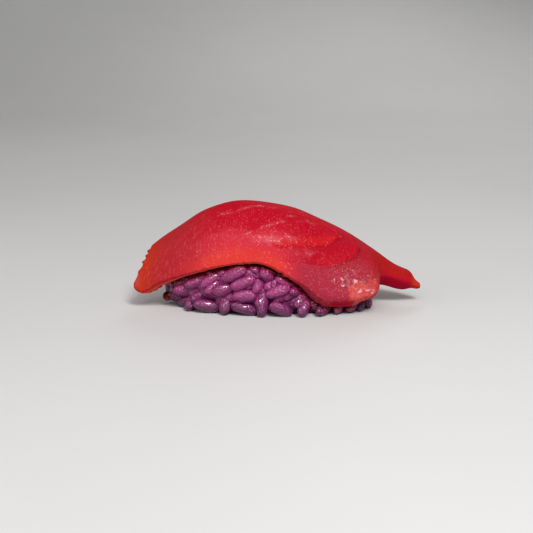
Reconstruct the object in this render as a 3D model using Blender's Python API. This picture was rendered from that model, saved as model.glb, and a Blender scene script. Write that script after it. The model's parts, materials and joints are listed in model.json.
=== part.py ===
"""Tuna nigiri at its real size: a hand-pressed pad of purple rice under one draped slice of raw tuna.

Metres, +Z up. The slice runs along X, the served side faces -Y, and the pad stands on z = 0.
Rails and places are written in millimetres and turned into metres where they are read.
"""

import math
import random

import bmesh
import bpy
import numpy as np
from mathutils import Matrix, Vector
from mathutils.bvhtree import BVHTree

MM = 0.001

# Rails of the slice's outer face, in millimetres: (share of the length, x, y, z).
CREST_RAIL = (
    (0.00, -34.6, 3.0, 16.0),
    (0.05, -31.0, 2.5, 19.0),
    (0.11, -25.6, 2.0, 22.5),
    (0.20, -18.6, 1.5, 27.2),
    (0.35, -7.7, 1.5, 29.9),
    (0.51, 5.7, 1.5, 28.1),
    (0.61, 13.2, 1.6, 25.0),
    (0.72, 21.6, 2.0, 20.9),
    (0.85, 31.9, 2.5, 14.0),
    (0.92, 37.4, 2.6, 10.1),
    (0.955, 39.7, 2.4, 9.7),
    (0.977, 41.3, 2.0, 8.2),
    (0.987, 42.1, 1.6, 6.3),
    (1.00, 43.9, 1.0, 5.5),
)
FRONT_RAIL = (
    (0.000, -39.5, -5.0, 6.7),
    (0.015, -38.4, -6.5, 5.3),
    (0.040, -36.0, -7.6, 5.0),
    (0.058, -34.0, -8.3, 6.5),
    (0.080, -31.6, -9.2, 8.0),
    (0.135, -25.1, -11.5, 10.8),
    (0.280, -12.4, -14.0, 14.4),
    (0.385, -4.2, -14.5, 15.3),
    (0.550, 8.2, -16.0, 9.9),
    (0.645, 15.9, -16.5, 5.3),
    (0.700, 20.6, -16.0, 5.2),
    (0.760, 25.6, -14.8, 5.3),
    (0.785, 28.6, -13.6, 5.8),
    (0.808, 30.5, -12.2, 6.9),
    (0.826, 30.9, -9.5, 8.2),
    (0.845, 31.3, -6.6, 8.9),
    (0.885, 33.3, -4.1, 8.7),
    (0.940, 37.8, -2.9, 7.0),
    (0.970, 40.6, -1.9, 5.8),
    (0.985, 42.0, -0.9, 5.1),
    (1.000, 43.9, -0.1, 4.7),
)
BACK_RAIL = (
    (0.00, -31.4, 10.5, 8.6),
    (0.04, -29.4, 12.4, 7.8),
    (0.12, -23.0, 14.4, 9.8),
    (0.36, -6.8, 15.6, 12.4),
    (0.55, 8.6, 15.2, 10.6),
    (0.72, 21.4, 13.6, 7.4),
    (0.86, 32.4, 10.0, 6.4),
    (0.95, 39.0, 5.6, 6.2),
    (1.00, 43.0, 2.6, 5.3),
)

# The slice's body along its length: (share, thickness in millimetres, how far the front cut leans to plumb).
BODY_RAIL = (
    (0.00, 3.0, 0.1),
    (0.10, 4.2, 0.0),
    (0.30, 5.2, 0.0),
    (0.52, 5.0, 0.1),
    (0.66, 4.6, 0.8),
    (0.73, 4.3, 0.8),
    (0.78, 3.9, 0.2),
    (0.83, 3.9, 0.9),
    (0.90, 4.0, 1.0),
    (0.945, 3.8, 0.9),
    (0.970, 3.0, 0.7),
    (0.983, 1.7, 0.4),
    (1.00, 1.9, 0.3),
)
CREST_EASING = 0.05
TIP_EASING = 0.012
TIP_SHARE = 0.90
FRONT_EASING = 0.012
EASING_STEPS = 9
DRAPE = math.radians(72)
SLICE_LENGTH = 82.0 * MM
SLICE_HALF_WIDTH = 22.0 * MM
EDGE_ROUND = 1.6 * MM
EDGE_SQUARENESS = 2.6
LEAN_START = 0.4
NORMAL_STEP = 0.003
SLICE_COLUMNS = 220
SLICE_ROWS = 84
END_CROWDING = 0.6
SLICE_SHARE_KEPT = 0.074
WELD = 0.0002 * MM

# Lapped edges of the muscle on the outer face: lift and fade in millimetres, then (share, across) places.
# The face is lifted on the right-hand side of each path and fades back over the second length.
LAPPED_EDGES = (
    (1.0, 7.0, ((0.748, 0.02), (0.759, -0.25), (0.754, -0.33), (0.725, -0.51), (0.68, -0.63), (0.6, -0.73))),
    (0.6, 5.0, ((0.62, -0.12), (0.68, -0.15), (0.692, -0.21), (0.659, -0.42), (0.596, -0.55), (0.5, -0.69))),
    (0.3, 4.0, ((0.350, -0.66), (0.416, -0.57), (0.476, -0.45), (0.530, -0.30))),
    (0.2, 4.0, ((0.290, -0.36), (0.388, -0.17), (0.500, -0.06))),
    (0.3, 3.0, ((0.726, -1.05), (0.716, -0.94), (0.711, -0.86), (0.716, -0.76))),
)
LAP_TAPER = 0.7
LAP_STEP = 0.9 * MM

# Small nubs along the left cut: (across, width across, how far out in millimetres).
END_NUBS = ((-0.25, 0.035, 0.7), (-0.40, 0.03, 0.6), (-0.55, 0.035, 0.7), (-0.74, 0.05, 0.4))
NUB_REACH = 0.02

# Pad of rice.
PAD_LENGTH = 57.0 * MM
PAD_WIDTH = 25.6 * MM
PAD_WAIST = 5.0 * MM
PAD_LEFT_SQUARENESS = 2.0
PAD_RIGHT_SQUARENESS = 2.8
PAD_CROWN = 27.0 * MM
PAD_CROWN_LEAN = -0.2
PAD_FOOT_TUCK = 12.0 * MM
PAD_MERIDIANS = 36
PAD_PARALLELS = 16
GAP = 0.55 * MM
CLEARANCE_COLUMNS = 60
CLEARANCE_ROWS = 20

# Grains that cover the pad.
GRAIN_LENGTH = (7.2 * MM, 8.6 * MM)
GRAIN_WIDTH = (3.4 * MM, 3.9 * MM)
GRAIN_FLATNESS = (0.84, 0.96)
GRAIN_SIDES = 6
GRAIN_RINGS = 4
GRAIN_TURNS = (-60, -30, -10, 10, 30, 60, 85)
GRAIN_SPOTS = (-0.3, 0.0, 0.3)
TURN_SPREAD = 12
DIP_SPREAD = 25
THROW_TARGET = 0.8
THROW_ORIGIN = (2.0, 6.0)
FOOT_GRAIN_HEIGHT = 1.85 * MM
FOOT_GRAIN_COUNT = 48
FOOT_SHIFT = 0.2
FOOT_DIPS = (-60, -20, 0, 20, 60)
FOOT_LIFT = 0.05 * MM
UPPER_GRAINS = (4.2 * MM, 15.5 * MM)
RICE_SEED = 11

# Rounds of grains: (how far a lying grain's middle stands off the pad, how far it keeps from the others).
FOOT_ROUND = (1.0 * MM, 2.4 * MM)
OUTER_ROUND = (0.9 * MM, 2.6 * MM)
GAP_ROUND = (0.2 * MM, 1.9 * MM)
ROUND_TRIES = 1800

# Grains that show most on the served side: (x, z, turn, dip, stand-off), in millimetres and degrees.
FRONT_GRAINS = (
    (-10.0, 11.6, 28, 0, 1.0),
    (-7.6, 9.2, 27, 0, 1.0),
    (-6.9, 5.6, 10, 0, 1.0),
    (-7.1, 1.8, -16, 0, 1.6),
    (-12.6, 7.1, 12, 20, 1.0),
    (-12.5, 3.0, 88, 45, 1.4),
    (-2.0, 1.9, 80, 50, 3.2),
    (2.8, 2.6, -24, 0, 2.2),
    (2.1, 7.0, 20, 0, 1.0),
    (-0.3, 11.0, -40, 50, 1.0),
    (-3.2, 9.1, 70, 50, 1.0),
    (-2.5, 5.0, 75, 50, 1.0),
    (-20.2, 8.9, 30, 25, 1.0),
    (-16.3, 10.0, 45, 25, 1.0),
    (-24.4, 8.5, 20, 50, 1.0),
    (-23.8, 5.7, 0, 40, 1.0),
    (-26.8, 2.4, -50, 50, 1.0),
    (-22.0, 2.9, 80, 55, 1.0),
    (-19.5, 4.8, 30, 50, 1.0),
    (-17.3, 2.2, -15, 15, 1.6),
    (-15.5, 7.9, 45, 40, 1.0),
    (9.2, 4.4, 30, 50, 1.0),
    (9.6, 2.2, 35, 45, 2.8),
    (7.6, 6.5, -20, 55, 1.0),
    (14.8, 1.9, -15, 45, 2.8),
    (19.8, 1.9, 25, 50, 1.6),
    (23.0, 1.9, 0, 40, 1.6),
    (25.4, 2.0, 10, 60, 1.6),
    (26.9, 2.2, 10, 70, 2.0),
)

# One red bead that sticks to the left end of the pad.
BEAD_PLACE = (-29.4 * MM, -3.2 * MM, 2.9 * MM)
BEAD_RADIUS = 1.4 * MM


def clear_scene():
    for item in list(bpy.data.objects):
        bpy.data.objects.remove(item)


def new_collection(name):
    collection = bpy.data.collections.new(name)
    bpy.context.scene.collection.children.link(collection)
    return collection


def make_material(name, colour, roughness, coat):
    material = bpy.data.materials.new(name)
    material.use_nodes = True
    shader = material.node_tree.nodes["Principled BSDF"]
    shader.inputs["Base Color"].default_value = (*colour, 1.0)
    shader.inputs["Roughness"].default_value = roughness
    shader.inputs["Metallic"].default_value = 0.0
    shader.inputs["Coat Weight"].default_value = coat
    return material


def add_object(name, bm, material, collection):
    mesh = bpy.data.meshes.new(name)
    bm.to_mesh(mesh)
    bm.free()
    mesh.materials.append(material)
    mesh.shade_smooth()
    item = bpy.data.objects.new(name, mesh)
    collection.objects.link(item)
    return item


def bake_modifiers(item):
    """Replaces the object's mesh by what its modifiers make of it."""
    graph = bpy.context.evaluated_depsgraph_get()
    mesh = bpy.data.meshes.new_from_object(item.evaluated_get(graph))
    item.modifiers.clear()
    item.data = mesh
    mesh.name = item.name


def along(rail, share):
    """Reads a rail at each share of its length. The curve never overshoots and runs on straight."""
    rail = np.array(rail)
    knots, values = rail[:, 0], rail[:, 1:]
    step = np.diff(knots)[:, None]
    rise = np.diff(values, axis=0) / step
    slope = np.zeros_like(values)
    same_way = rise[:-1] * rise[1:] > 0
    product = np.where(same_way, rise[:-1] * rise[1:], 0.0)
    mean = np.where(same_way, 0.5 * (rise[:-1] + rise[1:]), 1.0)
    slope[1:-1] = product / mean
    slope[0], slope[-1] = rise[0], rise[-1]
    beyond = (share - np.clip(share, 0.0, 1.0))[:, None]
    share = np.clip(share, 0.0, 1.0)
    i = np.clip(np.searchsorted(knots, share, side="right") - 1, 0, len(knots) - 2)
    u = ((share - knots[i]) / step[i, 0])[:, None]
    start = values[i] * (1 + 2 * u) * (1 - u) ** 2 + values[i + 1] * u**2 * (3 - 2 * u)
    bend = step[i] * (slope[i] * u * (1 - u) ** 2 - slope[i + 1] * u**2 * (1 - u))
    return start + bend + beyond * np.where(beyond < 0, slope[0], slope[-1])


def along_softly(rail, share, reach):
    """Reads a rail with its bends eased over the reach to either side."""
    offsets = np.linspace(-1, 1, EASING_STEPS)
    weights = 1 - np.abs(offsets) * (EASING_STEPS - 1) / EASING_STEPS
    total = sum(weight * along(rail, share + reach * offset) for offset, weight in zip(offsets, weights))
    return total / weights.sum()


def smooth_step(value):
    value = np.clip(value, 0, 1)
    return value**2 * (3 - 2 * value)


def edges_of_slice(share):
    """The crest, the front edge and the back edge at each share. The crest keeps sharper bends at the tip."""
    tip = smooth_step((share - TIP_SHARE) / (1 - TIP_SHARE))[:, None]
    soft_crest = along_softly(CREST_RAIL, share, CREST_EASING)
    crest = soft_crest + tip * (along_softly(CREST_RAIL, share, TIP_EASING) - soft_crest)
    front = along_softly(FRONT_RAIL, share, FRONT_EASING)
    back = along_softly(BACK_RAIL, share, CREST_EASING)
    return crest, front, back


def outer_face(share, across):
    """The outer face: an arch from the front edge (across -1) over the crest (0) to the back edge (1)."""
    crest, front, back = edges_of_slice(share)
    edge = np.where(across[:, None] < 0, front, back)
    angle = np.abs(across) * DRAPE
    out = np.sin(angle) / math.sin(DRAPE)
    down = (1 - np.cos(angle)) / (1 - math.cos(DRAPE))
    drop = np.stack((down, out, down), axis=1)
    points = crest + (edge - crest) * drop
    for place, width, reach in END_NUBS:
        bump = np.exp(-(((across - place) / width) ** 2)) * smooth_step(1 - share / NUB_REACH)
        points[:, 0] -= reach * bump
    return points * MM


def outward(share, across):
    """Unit normals of the outer face, from small steps each way."""
    low, high = np.clip(share - NORMAL_STEP, 0, 1), np.clip(share + NORMAL_STEP, 0, 1)
    left, right = np.clip(across - NORMAL_STEP, -1, 1), np.clip(across + NORMAL_STEP, -1, 1)
    normal = np.cross(
        outer_face(high, across) - outer_face(low, across),
        outer_face(share, right) - outer_face(share, left),
    )
    return normal / np.linalg.norm(normal, axis=1)[:, None]


def edge_falloff(distance):
    """1 inside the slice, falling to 0 at its rim along a rounded edge."""
    inside = np.clip(distance / EDGE_ROUND, 0, 1)
    return (1 - (1 - inside) ** EDGE_SQUARENESS) ** (1 / EDGE_SQUARENESS)


def lap_lift(share, across):
    """How far the lapped edges raise the outer face. A lap rises over a short step and fades behind it."""
    place = np.stack((share * SLICE_LENGTH, across * SLICE_HALF_WIDTH), axis=1)
    lift = np.zeros(len(share))
    for height, fade, path in LAPPED_EDGES:
        corners = np.array(path) * (SLICE_LENGTH, SLICE_HALF_WIDTH)
        nearest = np.full(len(share), 1.0)
        side = np.zeros(len(share))
        taper = np.zeros(len(share))
        for i in range(len(corners) - 1):
            run = corners[i + 1] - corners[i]
            part = np.clip((place - corners[i]) @ run / (run @ run), 0, 1)
            gap = place - corners[i] - part[:, None] * run
            distance = np.linalg.norm(gap, axis=1)
            closer = distance < nearest
            nearest = np.where(closer, distance, nearest)
            side = np.where(closer, run[1] * gap[:, 0] - run[0] * gap[:, 1], side)
            taper = np.where(closer, np.sin(math.pi * (i + part) / (len(corners) - 1)) ** LAP_TAPER, taper)
        step = smooth_step(nearest / LAP_STEP) * np.exp(-nearest / (fade * MM))
        lift += np.where(side > 0, height * MM * taper * step, 0.0)
    return lift


def slice_points(share, across, side):
    """Points of the slice's outer (side 1) or under (side -1) face."""
    points = outer_face(share, across)
    body = along_softly(BODY_RAIL, share, FRONT_EASING)
    thickness = body[:, :1] * MM
    lean = body[:, 1:] * smooth_step((-across[:, None] - LEAN_START) / (1 - LEAN_START))
    through = outward(share, across) + lean * np.array((0.0, 0.0, 1.0))
    through /= np.linalg.norm(through, axis=1)[:, None]
    crest, front, back = edges_of_slice(share)
    reach = np.linalg.norm(np.where(across[:, None] < 0, front, back) - crest, axis=1) * MM
    to_side = (1 - np.abs(across)) * reach
    to_end = np.minimum(share, 1 - share) * SLICE_LENGTH
    rim = (edge_falloff(to_side) * edge_falloff(to_end))[:, None]
    lift = lap_lift(share, across)[:, None] * rim if side > 0 else 0.0
    return points + through * (0.5 * thickness * (side * rim - 1) + lift)


def slice_shell(columns, rows):
    """Two sheets that share their rim: each starts as a flat grid and is laid on one face of the slice."""
    shell = bmesh.new()
    for side in (1, -1):
        bm = bmesh.new()
        bmesh.ops.create_grid(bm, x_segments=columns, y_segments=rows, size=1.0)
        grid = np.round([v.co for v in bm.verts], 6)
        even = (grid[:, 0] + 1) / 2
        share = even - END_CROWDING * np.sin(2 * math.pi * even) / (2 * math.pi)
        across = np.sin(grid[:, 1] * math.pi / 2)
        for vertex, place in zip(bm.verts, slice_points(share, across, side)):
            vertex.co = place
        if side < 0:
            bmesh.ops.reverse_faces(bm, faces=bm.faces)
        sheet = bpy.data.meshes.new("sheet")
        bm.to_mesh(sheet)
        bm.free()
        shell.from_mesh(sheet)
        bpy.data.meshes.remove(sheet)
    bmesh.ops.remove_doubles(shell, verts=shell.verts, dist=WELD)
    shell.normal_update()
    return shell


def make_slice(collection):
    flesh = make_material("tuna_flesh", (0.55, 0.025, 0.035), 0.3, 0.6)
    item = add_object("tuna_slice", slice_shell(SLICE_COLUMNS, SLICE_ROWS), flesh, collection)
    fewer = item.modifiers.new("fewer_faces", "DECIMATE")
    fewer.ratio = SLICE_SHARE_KEPT
    bake_modifiers(item)
    return item


def make_clearance(material, collection):
    """The slice grown by the gap all round. It presses the top of the rice to the slice's underside."""
    bm = slice_shell(CLEARANCE_COLUMNS, CLEARANCE_ROWS)
    for vertex in bm.verts:
        vertex.co += vertex.normal * GAP
    item = add_object("slice_clearance", bm, material, collection)
    item.hide_render = True
    item.display_type = "WIRE"
    return item


def squarer_plan(x, y):
    """How much wider than round the pad's plan is this way. Its right end is squarer than its left."""
    away = math.hypot(x, y)
    if abs(y) <= WELD:
        return 1.0
    squareness = PAD_RIGHT_SQUARENESS if x > 0 else PAD_LEFT_SQUARENESS
    return (1 - (abs(x) / away) ** squareness) ** (1 / squareness) * away / abs(y)


def make_pad(material, collection):
    """The pad under the grains: a sphere drawn out to an oblong loaf that leans with the slice, cut flat."""
    bm = bmesh.new()
    bmesh.ops.create_uvsphere(bm, u_segments=PAD_MERIDIANS, v_segments=PAD_PARALLELS, radius=1.0)
    for vertex in bm.verts:
        x = vertex.co.x * PAD_LENGTH / 2
        y = vertex.co.y * PAD_WIDTH / 2 * squarer_plan(vertex.co.x, vertex.co.y)
        crown = PAD_CROWN + PAD_CROWN_LEAN * x - PAD_WAIST
        rise = crown if vertex.co.z > 0 else PAD_FOOT_TUCK
        vertex.co = (x, y, PAD_WAIST + vertex.co.z * rise)
    cut = bmesh.ops.bisect_plane(
        bm,
        geom=bm.verts[:] + bm.edges[:] + bm.faces[:],
        plane_co=(0, 0, 0),
        plane_no=(0, 0, 1),
        clear_inner=True,
    )
    rim = [part for part in cut["geom_cut"] if isinstance(part, bmesh.types.BMEdge)]
    bmesh.ops.contextual_create(bm, geom=rim)
    bmesh.ops.recalc_face_normals(bm, faces=bm.faces)
    return add_object("rice", bm, material, collection)


def grain_frame(place, normal, turn, dip):
    """A grain's axes: it lies on the pad, turned from level, with its right end dipped into the pad."""
    level = Vector((0, 0, 1)).cross(normal).normalized()
    upward = normal.cross(level)
    lying = level * math.cos(turn) + upward * math.sin(turn)
    lengthwise = lying * math.cos(dip) - normal * math.sin(dip)
    sideways = normal.cross(lying).normalized()
    frame = Matrix((sideways.cross(lengthwise), sideways, lengthwise)).transposed().to_4x4()
    frame.translation = place
    return frame


class RicePlacer:
    """Lays grains on the pad one by one, each clear of the grains before it and resting above the floor."""

    def __init__(self, pad, collection, material):
        bm = bmesh.new()
        bm.from_mesh(pad.data)
        self.surface = BVHTree.FromBMesh(bm)
        bm.free()
        self.collection = collection
        self.material = material
        self.draw = random.Random(RICE_SEED)
        self.taken = []
        self.count = 0

    def lay(self, origin, direction, turn, dip, rules):
        """Throws a grain at the pad and keeps it where it finds room."""
        stand_off, spacing = rules
        length = self.draw.uniform(*GRAIN_LENGTH)
        width = self.draw.uniform(*GRAIN_WIDTH)
        thickness = width * self.draw.uniform(*GRAIN_FLATNESS)
        hit, normal, _, _ = self.surface.ray_cast(origin, direction)
        if hit is None:
            return
        sink = abs(math.sin(dip)) * (length - thickness) / 2
        frame = grain_frame(hit + normal * (stand_off - sink), normal, turn, dip)
        spots = [frame @ Vector((0, 0, part * length)) for part in GRAIN_SPOTS]
        if any((spot - other).length < spacing for spot in spots for other in self.taken):
            return
        bm = bmesh.new()
        size = Matrix.Diagonal((thickness / 2, width / 2, length / 2, 1.0))
        bmesh.ops.create_uvsphere(
            bm, u_segments=GRAIN_SIDES, v_segments=GRAIN_RINGS, radius=1.0, matrix=frame @ size
        )
        lowest = min(vertex.co.z for vertex in bm.verts)
        if lowest < FOOT_LIFT:
            bmesh.ops.translate(bm, verts=bm.verts, vec=(0, 0, FOOT_LIFT - lowest))
        self.taken += spots
        self.count += 1
        add_object(f"grain_{self.count:03d}", bm, self.material, self.collection)

    def lay_from(self, around, height, turn, dip, rules):
        """Lays a grain where a level line from outside meets the pad at this angle and height."""
        x, y = math.cos(around) * PAD_LENGTH / 2, math.sin(around) * PAD_WIDTH / 2
        target = Vector((x * THROW_TARGET, 0.0, height))
        origin = Vector((x * THROW_ORIGIN[0], y * THROW_ORIGIN[1], height))
        self.lay(origin, (target - origin).normalized(), math.radians(turn), math.radians(dip), rules)

    def lay_front(self):
        for x, z, turn, dip, stand_off in FRONT_GRAINS:
            origin = Vector((x * MM, -PAD_LENGTH, z * MM))
            rules = (stand_off * MM, 0.0)
            self.lay(origin, Vector((0, 1, 0)), math.radians(turn), math.radians(dip), rules)

    def lay_foot(self):
        for step in range(FOOT_GRAIN_COUNT):
            around = 2 * math.pi * (step + self.draw.uniform(-FOOT_SHIFT, FOOT_SHIFT)) / FOOT_GRAIN_COUNT
            dip = self.draw.choice(FOOT_DIPS)
            turn = self.draw.uniform(-TURN_SPREAD, TURN_SPREAD)
            self.lay_from(around, FOOT_GRAIN_HEIGHT, turn, dip, FOOT_ROUND)

    def lay_round(self, rules):
        """Throws many grains at the pad from all sides and keeps those that find room."""
        for _ in range(ROUND_TRIES):
            around = self.draw.uniform(0, 2 * math.pi)
            height = self.draw.uniform(*UPPER_GRAINS)
            turn = self.draw.choice(GRAIN_TURNS) + self.draw.uniform(-TURN_SPREAD, TURN_SPREAD)
            dip = self.draw.uniform(-DIP_SPREAD, DIP_SPREAD)
            self.lay_from(around, height, turn, dip, rules)

    def lay_bead(self):
        bm = bmesh.new()
        centre = Matrix.Translation(BEAD_PLACE)
        bmesh.ops.create_uvsphere(bm, u_segments=8, v_segments=6, radius=BEAD_RADIUS, matrix=centre)
        add_object("bead", bm, self.material, self.collection)


def keep_largest_body(item):
    """Drops loose scraps and fills sealed hollows: both are mesh islands of their own."""
    bm = bmesh.new()
    bm.from_mesh(item.data)
    islands = []
    left = set(bm.verts)
    while left:
        island = set()
        front = [left.pop()]
        while front:
            vertex = front.pop()
            island.add(vertex)
            for edge in vertex.link_edges:
                other = edge.other_vert(vertex)
                if other in left:
                    left.remove(other)
                    front.append(other)
        islands.append(island)
    islands.sort(key=len)
    for island in islands[:-1]:
        bmesh.ops.delete(bm, geom=list(island), context="VERTS")
    bm.to_mesh(item.data)
    bm.free()


def fuse_collection(item, collection, operation):
    fuse = item.modifiers.new(operation.lower(), "BOOLEAN")
    fuse.operation = operation
    fuse.operand_type = "COLLECTION"
    fuse.collection = collection
    fuse.solver = "MANIFOLD"
    bake_modifiers(item)
    for part in list(collection.objects):
        bpy.data.objects.remove(part)
    bpy.data.collections.remove(collection)


def make_rice(collection):
    """The pad with its grains fused on, pressed to the underside of the slice, as one solid."""
    material = make_material("purple_rice", (0.30, 0.055, 0.19), 0.3, 0.5)
    pad = make_pad(material, collection)
    loose = new_collection("loose_grains")
    placer = RicePlacer(pad, loose, material)
    placer.lay_front()
    placer.lay_foot()
    placer.lay_round(OUTER_ROUND)
    placer.lay_round(GAP_ROUND)
    placer.lay_bead()
    fuse_collection(pad, loose, "UNION")
    cutters = new_collection("cutters")
    make_clearance(material, cutters)
    fuse_collection(pad, cutters, "DIFFERENCE")
    keep_largest_body(pad)
    return pad


def main():
    clear_scene()
    nigiri = new_collection("tuna_nigiri")
    make_slice(nigiri)
    make_rice(nigiri)


main()
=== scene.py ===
"""Tuna nigiri: one draped slice of raw tuna on a hand-pressed pad of purple rice, dressed over its solids.

Metres, +Z up, the served side towards -Y. Rails and places are written in millimetres.
"""

import json
import math
import random

import bmesh
import bpy
import numpy as np
from mathutils import Matrix, Vector
from mathutils.bvhtree import BVHTree

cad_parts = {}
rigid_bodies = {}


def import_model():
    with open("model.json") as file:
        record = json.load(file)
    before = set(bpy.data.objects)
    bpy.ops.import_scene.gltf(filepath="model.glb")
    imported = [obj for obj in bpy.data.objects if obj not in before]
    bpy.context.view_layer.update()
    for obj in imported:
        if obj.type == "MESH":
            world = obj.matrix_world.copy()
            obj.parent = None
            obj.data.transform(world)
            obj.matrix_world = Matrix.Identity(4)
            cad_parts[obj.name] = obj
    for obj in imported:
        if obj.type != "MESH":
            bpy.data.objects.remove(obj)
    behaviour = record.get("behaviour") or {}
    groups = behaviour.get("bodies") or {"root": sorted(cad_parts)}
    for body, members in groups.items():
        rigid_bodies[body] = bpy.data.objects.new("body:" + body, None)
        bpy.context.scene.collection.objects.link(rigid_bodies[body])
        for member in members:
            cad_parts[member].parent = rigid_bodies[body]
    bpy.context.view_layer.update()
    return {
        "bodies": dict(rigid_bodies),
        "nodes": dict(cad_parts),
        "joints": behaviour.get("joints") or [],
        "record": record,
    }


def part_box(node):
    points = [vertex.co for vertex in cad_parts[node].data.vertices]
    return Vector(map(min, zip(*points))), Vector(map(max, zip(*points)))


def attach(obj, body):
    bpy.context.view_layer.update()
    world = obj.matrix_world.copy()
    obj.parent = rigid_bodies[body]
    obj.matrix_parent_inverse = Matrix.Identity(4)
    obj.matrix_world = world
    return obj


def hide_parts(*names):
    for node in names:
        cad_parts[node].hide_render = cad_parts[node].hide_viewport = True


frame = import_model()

# The slice of tuna
# A slice of lean red tuna, cut across the muscle and draped over the rice by hand. It hangs down in front
# and at both ends, and ends on the right in a front lobe and a narrow hooked tail. Its muscle laps in flat
# sheets, wet and a little clear, so thin edges glow and the fine grain of the meat glitters.

MM = 0.001
# Rails of the outer face: (share of the length from the left cut, x, y, z), in millimetres.
CREST_RAIL = (
    (0.00, -34.6, 3.0, 16.0),
    (0.05, -31.0, 2.5, 19.0),
    (0.11, -25.6, 2.0, 22.5),
    (0.20, -18.6, 1.5, 27.2),
    (0.35, -7.7, 1.5, 29.9),
    (0.51, 5.7, 1.5, 28.1),
    (0.61, 13.2, 1.6, 25.0),
    (0.72, 21.6, 2.0, 20.9),
    (0.85, 31.9, 2.5, 14.0),
    (0.92, 37.4, 2.6, 10.1),
    (0.955, 39.7, 2.4, 9.7),
    (0.977, 41.3, 2.0, 8.2),
    (0.987, 42.1, 1.6, 6.3),
    (1.00, 43.9, 1.0, 5.5),
)
FRONT_RAIL = (
    (0.000, -39.5, -5.0, 6.7),
    (0.015, -38.4, -6.5, 5.3),
    (0.040, -36.0, -7.6, 5.0),
    (0.058, -34.0, -8.3, 6.5),
    (0.080, -31.6, -9.2, 8.0),
    (0.135, -25.1, -11.5, 10.8),
    (0.280, -12.4, -14.0, 14.4),
    (0.385, -4.2, -14.5, 15.3),
    (0.550, 8.2, -16.0, 9.9),
    (0.645, 15.9, -16.5, 5.3),
    (0.700, 20.6, -16.0, 5.2),
    (0.760, 25.6, -14.8, 5.3),
    (0.785, 28.6, -13.6, 5.8),
    (0.808, 30.5, -12.2, 6.9),
    (0.826, 30.9, -9.5, 8.2),
    (0.845, 31.3, -6.6, 8.9),
    (0.885, 33.3, -4.1, 8.7),
    (0.940, 37.8, -2.9, 7.0),
    (0.970, 40.6, -1.9, 5.8),
    (0.985, 42.0, -0.9, 5.1),
    (1.000, 43.9, -0.1, 4.7),
)
BACK_RAIL = (
    (0.00, -31.4, 10.5, 8.6),
    (0.04, -29.4, 12.4, 7.8),
    (0.12, -23.0, 14.4, 9.8),
    (0.36, -6.8, 15.6, 12.4),
    (0.55, 8.6, 15.2, 10.6),
    (0.72, 21.4, 13.6, 7.4),
    (0.86, 32.4, 10.0, 6.4),
    (0.95, 39.0, 5.6, 6.2),
    (1.00, 43.0, 2.6, 5.3),
)
# (share of the length, thickness in millimetres, how far the front cut leans to plumb).
BODY_RAIL = (
    (0.00, 3.0, 0.1),
    (0.10, 4.2, 0.0),
    (0.30, 5.2, 0.0),
    (0.52, 5.0, 0.1),
    (0.66, 4.6, 0.8),
    (0.73, 4.3, 0.8),
    (0.78, 3.9, 0.2),
    (0.83, 3.9, 0.9),
    (0.90, 4.0, 1.0),
    (0.945, 3.8, 0.9),
    (0.970, 3.0, 0.7),
    (0.983, 1.7, 0.4),
    (1.00, 1.9, 0.3),
)
# How far the bends of the rails are eased to either side, in shares of the length.
CREST_EASING = 0.05
TIP_EASING = 0.012
TIP_SHARE = 0.90
FRONT_EASING = 0.012
EASING_STEPS = 9
DRAPE = math.radians(72)
SLICE_LENGTH = 82.0 * MM
SLICE_HALF_WIDTH = 22.0 * MM
EDGE_ROUND = 0.6 * MM
EDGE_SQUARENESS = 2.6
LEAN_START = 0.4
NORMAL_STEP = 0.003
SLICE_COLUMNS = 310
SLICE_ROWS = 156
END_CROWDING = 0.35
RIM_CROWDING = 0.5
FRONT_FAVOUR = 0.28
WELD = 0.0002 * MM
FAR_AWAY = 1.0
# Lapped edges of the muscle: lift and fade in millimetres, then (share, across) places. The face is lifted on
# the right-hand side of each path.
BIG_LAP = ((0.738, 0.02), (0.752, -0.25), (0.763, -0.33), (0.749, -0.49), (0.69, -0.65), (0.594, -0.76))
INNER_LAP = ((0.63, -0.11), (0.68, -0.20), (0.695, -0.30), (0.649, -0.47), (0.596, -0.56), (0.45, -0.78))
LAPPED_EDGES = (
    (1.0, 7.0, BIG_LAP),
    (0.6, 5.0, INNER_LAP),
    (0.3, 4.0, ((0.350, -0.66), (0.416, -0.57), (0.476, -0.45), (0.530, -0.30))),
    (0.2, 4.0, ((0.290, -0.36), (0.388, -0.17), (0.500, -0.06))),
    (0.3, 3.0, ((0.726, -1.05), (0.716, -0.94), (0.711, -0.86), (0.716, -0.76))),
)
LAP_STEP = 0.75 * MM
LAP_TAPER = 0.7
# Light is painted on the raised side of each lapped edge, and shade in a crease below it, out to these
# reaches.
LAP_LIGHT_REACH = 0.8 * MM
LAP_SHADE_REACH = 0.6 * MM
# Small nubs along the left cut: (across, width across, how far out in millimetres).
END_NUBS = ((-0.25, 0.035, 0.7), (-0.40, 0.03, 0.6), (-0.55, 0.035, 0.7), (-0.74, 0.05, 0.4))
NUB_REACH = 0.02
# The knife leaves the front edge a little ragged: (depth in millimetres, waves along the slice, shift). The
# raggedness swells and sinks (steady part, swells along the slice) and ends before the tail (last share,
# fade). It fills a narrow band along the edge and comes in over the first bit of the length.
EDGE_WAVES = ((0.10, 29.3, 0.4), (0.09, 43.1, 1.9), (0.07, 87.7, 0.7))
EDGE_SWELL = (0.5, 6.7)
EDGE_CALM = (0.80, 0.04)
RAGGED_BAND = 0.1
RAGGED_START = 0.05
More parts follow.
